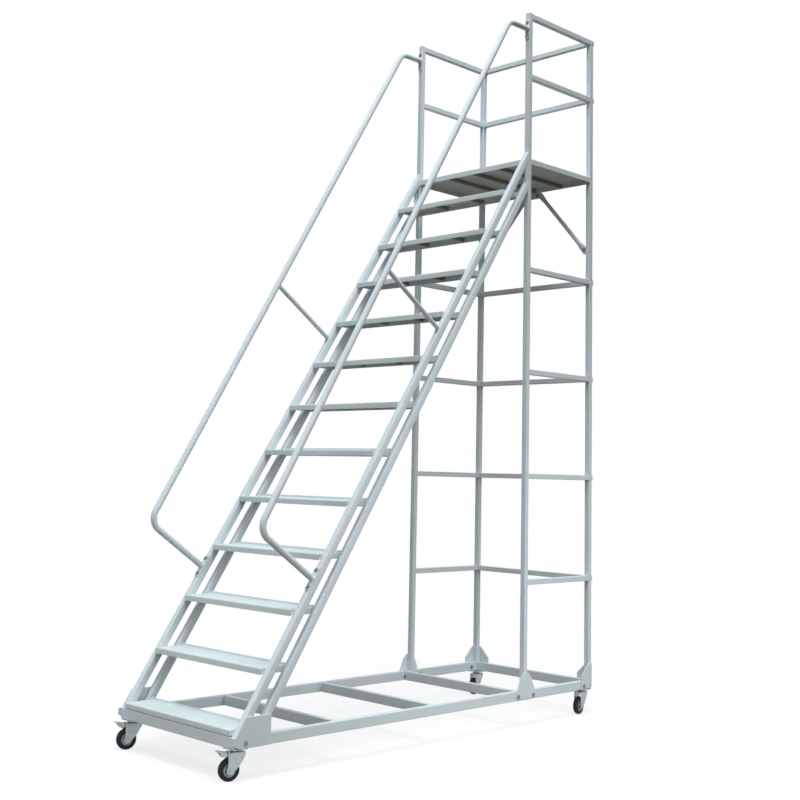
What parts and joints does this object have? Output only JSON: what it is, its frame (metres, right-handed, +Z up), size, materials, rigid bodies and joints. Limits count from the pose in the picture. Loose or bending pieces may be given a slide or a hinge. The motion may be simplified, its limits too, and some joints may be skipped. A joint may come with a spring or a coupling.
{
  "type": "mobile platform ladder",
  "caption": "Mobile steel platform ladder: steep open-tread stair, railed standing platform on a tube tower, base frame on swivel casters.",
  "frame": {"origin": "on the floor at the centre of the footprint", "axes": "+X the way a climber walks up, +Y to the climber's left, +Z up"},
  "size_m": [2.7505, 0.88, 4.052],
  "materials": {
    "frame_paint": "pale grey powder coat",
    "zinc_steel": "zinc plated",
    "wheel_core": "satin",
    "tyre": "matte"
  },
  "bodies": {
    "ladder": {"base_crossbars": "frame_paint", "base_front_rail": "frame_paint", "base_rear_rail": "frame_paint", "base_side_rail_left": "frame_paint", "base_side_rail_right": "frame_paint", "caster_mounts": "zinc_steel", "front_post_left": "frame_paint", "front_post_plates": "frame_paint", "front_post_right": "frame_paint", "guard_rails_left": "frame_paint", "guard_rails_rear": "frame_paint", "guard_rails_right": "frame_paint", "handrail_left": "frame_paint", "handrail_right": "frame_paint", "handrail_stay_left": "frame_paint", "handrail_stay_right": "frame_paint", "knee_brace": "frame_paint", "platform_deck": "frame_paint", "platform_ribs": "frame_paint", "rear_post_left": "frame_paint", "rear_post_plates": "frame_paint", "rear_post_right": "frame_paint", "stair_foot_plates": "frame_paint", "stringer_front_left": "frame_paint", "stringer_front_right": "frame_paint", "stringer_rear_left": "frame_paint", "stringer_rear_right": "frame_paint", "tower_rungs_left": "frame_paint", "tower_rungs_rear": "frame_paint", "tower_rungs_right": "frame_paint", "treads": "frame_paint"},
    "fork_front_right": {"caster_fork_front_right": "zinc_steel"},
    "wheel_front_right": {"caster_tyre_front_right": "tyre", "caster_core_front_right": "wheel_core"},
    "brake_front_right": {"brake_pedal_front_right": "zinc_steel"},
    "fork_front_left": {"caster_fork_front_left": "zinc_steel"},
    "wheel_front_left": {"caster_tyre_front_left": "tyre", "caster_core_front_left": "wheel_core"},
    "brake_front_left": {"brake_pedal_front_left": "zinc_steel"},
    "fork_rear_right": {"caster_fork_rear_right": "zinc_steel"},
    "wheel_rear_right": {"caster_tyre_rear_right": "tyre", "caster_core_rear_right": "wheel_core"},
    "fork_rear_left": {"caster_fork_rear_left": "zinc_steel"},
    "wheel_rear_left": {"caster_tyre_rear_left": "tyre", "caster_core_rear_left": "wheel_core"}
  },
  "joints": [
    {"name": "swivel_front_right", "type": "hinge", "parent": "ladder", "child": "fork_front_right", "pos_m": [-1.2768, -0.393, 0.13], "axis": [0, 0, 1], "continuous": true},
    {"name": "roll_front_right", "type": "hinge", "parent": "fork_front_right", "child": "wheel_front_right", "pos_m": [-1.30591, -0.38574, 0.05], "axis": [-0.2419, -0.9703, 0], "continuous": true},
    {"name": "brake_front_right", "type": "hinge", "parent": "fork_front_right", "child": "brake_front_right", "pos_m": [-1.30979, -0.38477, 0.118], "axis": [-0.2419, -0.9703, 0], "range_deg": [0, 10]},
    {"name": "swivel_front_left", "type": "hinge", "parent": "ladder", "child": "fork_front_left", "pos_m": [-1.2768, 0.393, 0.13], "axis": [0, 0, 1], "continuous": true},
    {"name": "roll_front_left", "type": "hinge", "parent": "fork_front_left", "child": "wheel_front_left", "pos_m": [-1.30591, 0.40026, 0.05], "axis": [-0.2419, -0.9703, 0], "continuous": true},
    {"name": "brake_front_left", "type": "hinge", "parent": "fork_front_left", "child": "brake_front_left", "pos_m": [-1.30979, 0.40122, 0.118], "axis": [-0.2419, -0.9703, 0], "range_deg": [0, 10]},
    {"name": "swivel_rear_right", "type": "hinge", "parent": "ladder", "child": "fork_rear_right", "pos_m": [1.3232, -0.393, 0.13], "axis": [0, 0, 1], "continuous": true},
    {"name": "roll_rear_right", "type": "hinge", "parent": "fork_rear_right", "child": "wheel_rear_right", "pos_m": [1.29357, -0.39769, 0.05], "axis": [0.1564, -0.9877, 0], "continuous": true},
    {"name": "swivel_rear_left", "type": "hinge", "parent": "ladder", "child": "fork_rear_left", "pos_m": [1.3232, 0.393, 0.13], "axis": [0, 0, 1], "continuous": true},
    {"name": "roll_rear_left", "type": "hinge", "parent": "fork_rear_left", "child": "wheel_rear_left", "pos_m": [1.29357, 0.38831, 0.05], "axis": [0.1564, -0.9877, 0], "continuous": true}
  ]
}
